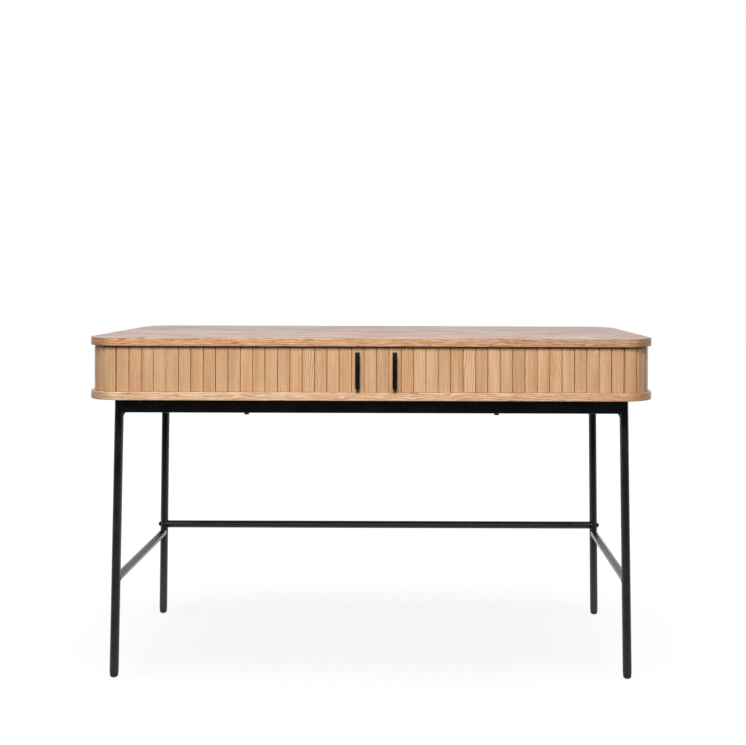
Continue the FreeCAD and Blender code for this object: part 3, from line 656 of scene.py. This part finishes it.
@dataclass
class TambourDoor:
    """One slatted door: slats on a cloth back that run round a front corner."""

    name: str
    side: int
    lead: int
    seed: int
    roll: int = 13
    singles: int = 3
    pitch: float = 27 * MM
    width: float = 26 * MM
    thick: float = 8 * MM
    ease: float = 1.2 * MM
    fullness: float = 1.005
    misfit: float = 0.014
    foot: float = 646.1 * MM
    head: float = 742 * MM
    foot_bite: float = 5.6 * MM
    head_bite: float = 9.5 * MM
    tongue_width: float = 12 * MM
    tongue_thick: float = 5 * MM
    tongue_ease: float = 0.4 * MM
    neck_width: float = 25 * MM
    neck_rise: float = 3.8 * MM
    meeting: float = 13.5 * MM
    turn_radius: float = 56 * MM
    turn_x: float = 553 * MM
    turn_y: float = 223 * MM
    # Painted shade: tones for the tongues in the shaded head gap and for the eased edges beside the gaps
    # between slats
    tongue_shade: Triple = (0.27, 0.18, 0.11)
    edge_shade: Triple = (0.92, 0.81, 0.68)
    edge_share: float = 0.3
    pith_aside: Pair = (30 * MM, 200 * MM)
    pith_depth: Pair = (20 * MM, 80 * MM)
    grain_slope: float = 0.06
    slope_shares: Pair = (0.3, 1.0)
    log_run: float = 30.0
    shade_spread: float = 0.03
    shade_limits: Pair = (0.92, 1.08)
    warmth: float = 0.004
    warmth_spread: float = 0.018
    warmth_limits: Pair = (-0.012, 0.04)
    cloth_margin: float = 6 * MM
    cloth_thick: float = 0.8 * MM
    cloth_trim: float = 0.35 * MM
    cloth_dip: float = 0.15 * MM
    dip_power: int = 24
    cloth_columns: int = 12
    cloth_rows: int = 13
    corner_steps: int = 5

    def groups(self) -> dict[str, tuple[int, int]]:
        """Divide the belt into its rigid stretches.

        Returns:
            First and last slat of every stretch, by the stretch's name.
        """
        spans = {"lead": (1, self.lead)}
        spans |= {f"turn_{k}": (self.lead + k, self.lead + k) for k in range(1, self.singles + 1)}
        first = self.lead + self.singles + 1
        spans["roll"] = (first, first + self.roll - 1)
        last = first + self.roll - 1
        spans |= {f"tail_{k}": (last + k, last + k) for k in range(1, self.singles + 1)}
        return spans

    def place(self, slats: Array) -> tuple[Array, Array]:
        """Place the backs of slats along the track.

        The track is straight in front, then turns the corner by the length of arc over its radius.

        Args:
            slats: numbers of the slats, from 1 at the meeting line.

        Returns:
            Points in plan and turns in radians.
        """
        run = (slats - 0.5) * self.pitch
        front = self.turn_x - self.meeting * self.side
        angle = np.clip((run - front) / self.turn_radius, 0, math.pi / 2)
        ahead = np.minimum(run, front) * self.side + self.meeting
        x = ahead + self.turn_radius * np.sin(angle) * self.side
        y = -self.turn_y - self.turn_radius * np.cos(angle)
        return np.stack([x, y], axis=-1), angle * self.side

    def set_down(self, slats: Array, plan: Array, height: Array) -> Array:
        """Turn plan points of each slat and set them on the track.

        Args:
            slats: numbers of the slats.
            plan: points about the slat's back, shaped rows, columns, 2, or slats, rows, columns, 2.
            height: heights of the rows.

        Returns:
            Points shaped slats, rows, columns, 3.
        """
        spot, angle = self.place(slats)
        cos, sin = np.cos(angle)[:, None, None], np.sin(angle)[:, None, None]
        x = spot[:, 0, None, None] + cos * plan[..., 0] - sin * plan[..., 1]
        y = spot[:, 1, None, None] + sin * plan[..., 0] + cos * plan[..., 1]
        z = np.broadcast_to(height[:, None], x.shape)
        return np.stack([x, y, z], axis=-1)

    def slats(self, label: str, first: int, last: int) -> Piece:
        """Loft round-edged outlines up each slat: foot tongue, eased blade and head tongue.

        Args:
            label: name of the stretch.
            first: first slat.
            last: last slat.

        Returns:
            The slats of the stretch as one piece.
        """
        numbers = np.arange(first, last + 1)
        tongue = rounded_box(self.tongue_width, self.tongue_thick, self.tongue_ease, self.corner_steps)
        neck = rounded_box(self.neck_width, self.tongue_thick, self.tongue_ease, self.corner_steps)
        blade = rounded_box(self.width, self.thick, self.ease, self.corner_steps)
        drawn_in = rounded_box(self.width - self.ease, self.thick - self.ease, self.ease, self.corner_steps)
        rings = np.stack([tongue, tongue, drawn_in, blade, blade, drawn_in, neck, neck, tongue, tongue])
        foot, head, ease = self.foot, self.head, self.ease / 2
        height = np.array([foot - self.foot_bite, foot, foot, foot + ease, head - ease, head, head,
                           head + self.neck_rise, head + self.neck_rise, head + self.head_bite])
        chance = np.random.default_rng(self.seed + first)
        count = len(numbers)
        # No two slats come off the saw quite alike, so some gaps show darker than others
        fit = self.fullness + chance.uniform(-self.misfit, self.misfit, count)[:, None, None]
        plan = np.stack(np.broadcast_arrays(rings[..., 0] * fit, rings[..., 1] - self.thick / 2), axis=-1)
        points = self.set_down(numbers, plan, height)
        # Every slat is sawn from its own part of the log: near the pith's line it shows arches, far from
        # it stripes
        aside = chance.choice([-1, 1], count) * chance.uniform(*self.pith_aside, count)
        slope = chance.normal(0, self.grain_slope, count) * chance.choice(self.slope_shares, count)
        start = chance.uniform(*self.pith_depth, count)
        far = chance.uniform(0, self.log_run, count)
        aside, slope, start, far = (value[:, None, None] for value in (aside, slope, start, far))
        rise = height[:, None] - foot
        place = (aside + plan[..., 0], start + slope * rise + plan[..., 1], far + rise)
        trunk = closed(np.stack(np.broadcast_arrays(*place), axis=-1))
        shade = np.clip(chance.normal(1.0, self.shade_spread, count), *self.shade_limits)
        warmth = np.clip(chance.normal(self.warmth, self.warmth_spread, count), *self.warmth_limits)
        tint = np.stack([shade + warmth, shade, shade - warmth], axis=-1)
        # Painted shade: tongues and necks are darkened as the shaded head gap, and the eased edges as the
        # shaded gaps between slats
        blade_rows = np.arange(2, 6)
        is_blade = np.isin(np.arange(len(rings)), blade_rows)[:, None, None]
        is_edge = (np.abs(rings[..., 0]) > self.width / 2 - self.edge_share * self.ease)[..., None]
        painted_shade = np.where(is_blade, np.where(is_edge, self.edge_shade, 1.0), self.tongue_shade)
        tone = closed(tint[:, None, None] * painted_shade)
        return sheet(label, points, True, True, {"trunk": trunk, "tone": tone})

    def cloth(self, label: str, first: int, last: int) -> Piece:
        """Lay canvas over the backs of slats: a flat grid that dips into the gap between two slats.

        The dip is a high power of the cosine of the place between two gaps.

        Args:
            label: name of the stretch.
            first: first slat.
            last: last slat.

        Returns:
            The cloth, with its thickness.
        """
        count = last - first + 1
        low, high = self.foot + self.cloth_margin, self.head - self.cloth_margin
        across = np.linspace(-0.5, count - 0.5, count * self.cloth_columns + 1) * self.pitch
        across = np.clip(across, self.cloth_trim - self.pitch / 2, across[-1] - self.cloth_trim)
        height = np.linspace(low, high, self.cloth_rows)
        dip = self.cloth_dip * np.cos(across / self.pitch * math.pi) ** self.dip_power
        edge = self.cloth_thick / 2
        plan = np.stack([across, edge + self.cloth_dip - dip], axis=-1)[None]
        leftmost = np.array([last if self.side < 0 else first])
        points = self.set_down(leftmost, np.broadcast_to(plan, (len(height), len(across), 2)), height)
        weave = np.stack(np.broadcast_arrays(across[None], height[:, None], 0.0), axis=-1)[None]
        item = sheet(label, points[:, ::-1], False, False, {"weave": weave[:, ::-1]})
        wall = item.modifiers.new("thickness", "SOLIDIFY")
        wall.thickness = self.cloth_thick
        wall.offset = 0
        return item

    def dress(self, finishes: Finishes) -> None:
        """Build every stretch of the belt on its body.

        Args:
            finishes: materials of the desk.
        """
        for stretch, (first, last) in self.groups().items():
            kind, _, number = stretch.partition("_")
            tail = f"_{number}" if number else ""
            body = f"{self.name}_door" if stretch == "lead" else f"{self.name}_{stretch}_slats"
            wood = self.slats(f"{self.name}_{stretch}_oak_slats", first, last)
            finish_piece(wood, body, "slat_oak", finishes.slat, f"{self.name}_{kind}_slats{tail}")
            back = self.cloth(f"{self.name}_{stretch}_cloth", first, last)
            finish_piece(back, body, "canvas", finishes.canvas, f"{self.name}_{kind}_canvas{tail}")
        repaint(finishes.zinc, f"{self.name}_handle_screws")


@dataclass
class BarHandle:
    """Upright bar on two posts, with a strap that shows below it."""

    name: str
    x: float
    face: float = -287 * MM
    middle: float = 694.2 * MM
    width: float = 10 * MM
    depth: float = 6 * MM
    length: float = 80 * MM
    stand: float = 12 * MM
    ease: float = 1.1 * MM
    post_radius: float = 3.5 * MM
    post_spacing: float = 48 * MM
    flare: float = 0.9 * MM
    strap_width: float = 5 * MM
    strap_thick: float = 2.5 * MM
    strap_drop: float = 7 * MM
    ease_steps: int = 5
    flare_steps: int = 6
    post_sides: int = 32

    def upright(self, label: str, width: float, depth: float, y: float, low: float,
                high: float) -> Piece:
        """Loft a round-edged outline up a straight bar whose ends draw in along a quarter circle.

        Args:
            label: name of the piece.
            width: size across.
            depth: size from front to back.
            y: middle from front to back.
            low: foot of the bar.
            high: head of the bar.

        Returns:
            The bar.
        """
        turn = np.linspace(0, math.pi / 2, self.ease_steps)
        shrink = (1 - np.sin(turn)) * self.ease
        rise = (1 - np.cos(turn)) * self.ease
        inset = np.concatenate([shrink, shrink[::-1]])
        height = np.concatenate([low + rise, high - rise[::-1]])
        outline = rounded_box(width, depth, self.ease, self.ease_steps)
        scale = 1 - 2 * inset[:, None] / np.array([width, depth])
        plan = outline[None] * scale[:, None]
        z = np.broadcast_to(height[:, None, None], plan.shape[:2] + (1,))
        points = np.concatenate([plan + (self.x, y), z], axis=-1)[None]
        return sheet(label, points, True, True, {})

    def post(self, label: str, z: float) -> Piece:
        """Turn a post about its axis: a straight shank that flares out by a quarter circle at both ends.

        Args:
            label: name of the piece.
            z: height of its axis.

        Returns:
            The post.
        """
        turn = np.linspace(0, math.pi / 2, self.flare_steps)
        grow = (1 - np.sin(turn)) * self.flare
        run = (1 - np.cos(turn)) * self.flare
        radius = self.post_radius + np.concatenate([grow, grow[::-1]])
        y = self.face - np.concatenate([run, self.stand - run[::-1]])
        angle = np.linspace(0, 2 * math.pi, self.post_sides, endpoint=False)
        x = self.x + radius[:, None] * np.cos(angle)
        height = z + radius[:, None] * np.sin(angle)
        points = np.stack([x, np.broadcast_to(y[:, None], x.shape), height], axis=-1)[None]
        return sheet(label, points, True, True, {})

    def dress(self, finishes: Finishes) -> None:
        """Build bar, posts and strap in place of the CAD handle.

        Args:
            finishes: materials of the desk.
        """
        foot, head = self.middle - self.length / 2, self.middle + self.length / 2
        bar_y = self.face - self.stand - self.depth / 2
        bar = self.upright(f"{self.name}_bar", self.width, self.depth, bar_y, foot, head)
        strap_y = self.face - self.strap_thick / 2
        strap_head = self.middle + self.post_spacing / 2 + self.post_radius
        strap = self.upright(f"{self.name}_strap", self.strap_width, self.strap_thick, strap_y,
                             foot - self.strap_drop, strap_head)
        posts = [self.post(f"{self.name}_{place}_post", self.middle + end * self.post_spacing / 2)
                 for place, end in (("lower", -1), ("upper", 1))]
        body = self.name.replace("handle", "door")
        finish_piece(bar, body, "black_steel", finishes.handle, self.name)
        for item in (strap, *posts):
            finish_piece(item, body, "black_steel", finishes.handle)


@dataclass
class SteelFrame:
    """Legs, rails and stretchers of black steel tube, with weld beads at the side stretchers' ends."""

    leg_radius: float = 10 * MM
    tube_radius: float = 9.5 * MM
    bead: float = 1.3 * MM
    ripple: float = 0.18 * MM
    ripples: int = 22
    bead_steps: int = 132
    bead_sides: int = 12

    def weld(self, name: str, x: float, leg_y: float, z: float, towards: int) -> Piece:
        """Carry a small rippled round along the line where a stretcher meets a leg.

        Going round the stretcher by an angle, the line's distance from the leg's axis is the root of the
        leg's radius squared less the sideways offset squared.

        Args:
            name: name of the bead.
            x: sideways place of both axes.
            leg_y: place of the leg's axis.
            z: height of the stretcher's axis.
            towards: 1 where the stretcher leaves towards the back, else -1.

        Returns:
            The bead.
        """
        turn = np.linspace(0, 2 * math.pi, self.bead_steps, endpoint=False)
        side, up = np.cos(turn) * self.tube_radius, np.sin(turn) * self.tube_radius
        gap = np.sqrt(self.leg_radius ** 2 - side ** 2)
        radius = self.bead + self.ripple * np.sin(turn * self.ripples)
        around = np.linspace(0, 2 * math.pi, self.bead_sides, endpoint=False)[:, None]
        out = np.cos(around) * radius
        ahead = np.sin(around) * radius
        px = x + side + np.cos(turn) * out
        py = leg_y + towards * (gap + ahead)
        pz = z + up + np.sin(turn) * out
        points = np.stack([px, py, pz], axis=-1)[None]
        points = np.concatenate([points, points[:, :1]], axis=1)
        return sheet(name, points if towards > 0 else points[:, ::-1], True, False, {})

    def dress(self, finishes: Finishes) -> None:
        """Finish the CAD tubes and fasteners and add the weld beads.

        Args:
            finishes: materials of the desk.
        """
        corners = [f"{end}_{side}_leg" for end in ("front", "rear") for side in ("left", "right")]
        rails = ["front_rail", "rear_rail", "left_rail", "right_rail"]
        tubes = ["left_stretcher", "right_stretcher", "rear_stretcher"]
        bolts = ["frame_bolts", "stretcher_bolts"]
        repaint(finishes.steel, *corners, *rails, *tubes, "corner_gussets", *bolts)
        repaint(finishes.zinc, "threaded_inserts", "stretcher_plugs")
        repaint(finishes.foot, "foot_caps")
        for side in ("left", "right"):
            low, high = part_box(f"{side}_stretcher")
            x, z = (low.x + high.x) / 2, (low.z + high.z) / 2
            # The tube is coped: its longest lines lie beside the leg, short of the leg's axis by this much
            short = math.sqrt(self.leg_radius ** 2 - self.tube_radius ** 2)
            for end, y, towards in (("front", low.y, 1), ("rear", high.y, -1)):
                bead = self.weld(f"{side}_{end}_weld", x, y - towards * short, z, towards)
                finish_piece(bead, "desk", "black_steel", finishes.steel)


@dataclass
class Carcass:
    """Fixed panels between the boards: sides, back and middle."""

    def dress(self, finishes: Finishes) -> None:
        """Finish the panels with veneer that runs along each of them."""
        repaint(finishes.side, "left_side_panel", "right_side_panel", "centre_divider")
        repaint(finishes.back, "back_panel")


class Link(Enum):
    """Which objects a lamp lights: only the linked one, or all but it."""

    ONLY = "INCLUDE"
    ALL_BUT = "EXCLUDE"


@dataclass(frozen=True)
class Lamp:
    """An oblong soft lamp: where it hangs, the point it faces, the size of its face, watts and link."""

    name: str
    place: Triple
    aim: Triple
    size: Pair
    power: float
    link: Link = Link.ALL_BUT

    def hang(self, linked: Piece) -> None:
        """Hang the lamp, which gloss does not mirror, and turn it to its point.

        Args:
            linked: object that the lamp treats in its own way.
        """
        light = bpy.data.lights.new(self.name, "AREA")
        light.shape = "RECTANGLE"
        light.size, light.size_y = self.size
        light.energy = self.power
        item = bpy.data.objects.new(self.name, light)
        item.location = self.place
        item.rotation_euler = (Vector(self.aim) - Vector(self.place)).to_track_quat("-Z", "Y").to_euler()
        item.visible_glossy = False
        bpy.context.scene.collection.objects.link(item)
        lit = bpy.data.collections.new(f"{self.name}_lit")
        lit.objects.link(linked)
        lit.collection_objects[0].light_linking.link_state = self.link.value
        item.light_linking.receiver_collection = lit


@dataclass
class Studio:
    """White sweep and soft lamps; gloss sees white behind the desk and a dim room in front."""

    ambient: float = 0.07
    room: float = 0.04
    backdrop: float = 1.04
    backdrop_span: Pair = (-0.3, 0.78)
    window: float = 1.6
    window_rise: Pair = (0.12, 0.22)
    window_edge: Pair = (-0.6, -0.3)
    daylight: str = "F6F9FF"
    sweep_side: float = 9.0
    sweep_front: float = -1.6
    sweep_back: float = 12.0
    paper: str = "F4F4F4"
    front_gloss: float = 0.15
    gloss_span: Pair = (-0.6, 0.1)
    glow: float = 0.858
    far_glow: float = 1.0
    glow_span: Pair = (0.9, 2.5)
    glow_tint: str = "FDFEFF"
    lamps: tuple[Lamp, ...] = (
        Lamp("key", (-0.1, -1.9, 2.45), (0, -0.2, 0.6), (0.7, 0.7), 64.0),
        Lamp("fill", (-0.1, -3.0, 1.5), (0, -0.2, 0.6), (1.2, 1.2), 23.0),
        Lamp("side_-1", (-2.6, 1.6, 0.45), (-0.3, 0.2, 0.55), (1.6, 1.6), 58.0),
        Lamp("side_1", (2.6, 1.6, 0.45), (0.3, 0.2, 0.55), (1.6, 1.6), 58.0),
        Lamp("roof", (0, -0.42, 3.2), (0, -0.42, 0), (3.6, 1.6), 24.0, Link.ONLY),
    )

    def surround(self) -> None:
        """Light the scene from all round.

        The eye sees plain white. Gloss sees white behind the desk, which fades into a dim room by the
        direction's share of Y, and a window high up in front.
        """
        world = bpy.data.worlds.new("surround")
        world.use_nodes = True
        tree = world.node_tree
        tree.nodes.clear()
        path = add(tree, "LightPath").outputs
        towards = add(tree, "SeparateXYZ", [add(tree, "TexCoord").outputs["Generated"]]).outputs
        ahead = add(tree, "MapRange", [towards["Y"], *self.backdrop_span, self.room, self.backdrop],
                    interpolation_type="SMOOTHSTEP")
        above = add(tree, "MapRange", [towards["Z"], *self.window_rise, 0.0, self.window],
                    interpolation_type="SMOOTHSTEP")
        window = add(tree, "MapRange", [towards["Y"], *self.window_edge, above, 0.0],
                     interpolation_type="SMOOTHSTEP")
        mirrored = add(tree, "Math", [ahead, window], operation="MAXIMUM")
        seen = add(tree, "Math", [path["Is Camera Ray"], path["Is Transmission Ray"]], operation="MAXIMUM")
        lit = add(tree, "Mix", {0: path["Is Glossy Ray"], 2: self.ambient, 3: mirrored})
        level = add(tree, "Mix", {0: seen, 2: lit, 3: 1.0})
        tint = add(tree, "Mix", {0: path["Is Glossy Ray"], 6: linear("FFFFFF"), 7: linear(self.daylight)},
                   data_type="RGBA").outputs[2]
        add(tree, "OutputWorld", [add(tree, "Background", {"Color": tint, "Strength": level})])
        bpy.context.scene.world = world

    def floor(self) -> Piece:
        """Lay the sweep: matt white paper that keeps the shadow and glows to the eye and to gloss.

        Returns:
            The floor.
        """
        mesh = bpy.data.meshes.new("studio_floor")
        side, front, back = self.sweep_side, self.sweep_front, self.sweep_back
        corners = [(-side, front, 0), (side, front, 0), (side, back, 0), (-side, back, 0)]
        mesh.from_pydata(corners, [], [(0, 1, 2, 3)])
        item = bpy.data.objects.new("studio_floor", mesh)
        bpy.context.scene.collection.objects.link(item)
        material, tree = start_material("studio_paper")
        matt = add(tree, "BsdfDiffuse", {"Color": linear(self.paper)})
        path = add(tree, "LightPath").outputs
        place = add(tree, "TexCoord").outputs["Object"]
        depth = add(tree, "SeparateXYZ", [place]).outputs["Y"]
        behind = add(tree, "MapRange", [depth, *self.gloss_span, self.front_gloss, 1.0],
                     interpolation_type="SMOOTHSTEP")
        gloss = add(tree, "Math", [path["Is Glossy Ray"], behind], operation="MULTIPLY")
        seen = add(tree, "Math", [path["Is Camera Ray"], gloss], operation="MAXIMUM")
        away = add(tree, "VectorMath", [place], operation="LENGTH").outputs["Value"]
        glow = add(tree, "MapRange", [away, *self.glow_span, self.glow, self.far_glow],
                   interpolation_type="SMOOTHSTEP")
        shown = add(tree, "Math", [seen, glow], operation="MULTIPLY")
        light = add(tree, "Emission", {"Color": linear(self.glow_tint), "Strength": shown})
        add(tree, "OutputMaterial", [add(tree, "AddShader", [matt, light])])
        mesh.materials.append(material)
        return item

    def build(self) -> None:
        """Set up the surround, the sweep and the lamps."""
        self.surround()
        floor = self.floor()
        for lamp in self.lamps:
            lamp.hang(floor)
        bpy.context.scene.view_settings.view_transform = "Standard"


@dataclass
class PhotoCamera:
    """Camera of the photograph: level, straight on, a little right of the middle and above the top."""

    place: Triple = (108.0 * MM, -2599.0 * MM, 894.9 * MM)
    focal_px: float = 1060.34
    axis_px: Pair = (419.54, 277.80)
    roll: float = 0.0030
    sensor_mm: float = 36.0
    sight: float = 200.0

    def build(self) -> None:
        """Make the camera and make it the scene's."""
        wide, tall = PHOTO_SIZE
        data = bpy.data.cameras.new("photo_camera")
        data.sensor_width = self.sensor_mm
        data.lens = self.focal_px / wide * self.sensor_mm
        # Pixel places count from the middle of the first pixel
        data.shift_x = 0.5 - (self.axis_px[0] + 0.5) / wide
        data.shift_y = ((self.axis_px[1] + 0.5) - tall / 2) / wide
        data.clip_end = self.sight
        item = bpy.data.objects.new("photo_camera", data)
        ahead = Matrix.Rotation(math.pi / 2, 4, "X")
        item.matrix_world = Matrix.Translation(self.place) @ ahead @ Matrix.Rotation(self.roll, 4, "Z")
        bpy.context.scene.collection.objects.link(item)
        bpy.context.scene.camera = item


def main() -> None:
    """Build every sub-assembly in order, then the studio and the camera."""
    logging.basicConfig(level=logging.INFO, format="%(name)s: %(message)s")
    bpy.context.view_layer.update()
    finishes = Finishes()
    assemblies = [
        BandedBoard("top_board", Strip.TOP, seed=4),
        # Painted shade at the base band's right end, strongest in blue
        BandedBoard("base_board", Strip.BASE, seed=9, painted_end_shade=(0.12, 0.24, 0.34)),
        Carcass(),
        TambourDoor("left", side=-1, lead=5, seed=100),
        TambourDoor("right", side=1, lead=4, seed=200),
        BarHandle("left_handle", x=-27 * MM),
        BarHandle("right_handle", x=54 * MM),
        SteelFrame(),
    ]
    for assembly in assemblies:
        assembly.dress(finishes)
    Studio().build()
    PhotoCamera().build()


if __name__ == "__main__":
    main()
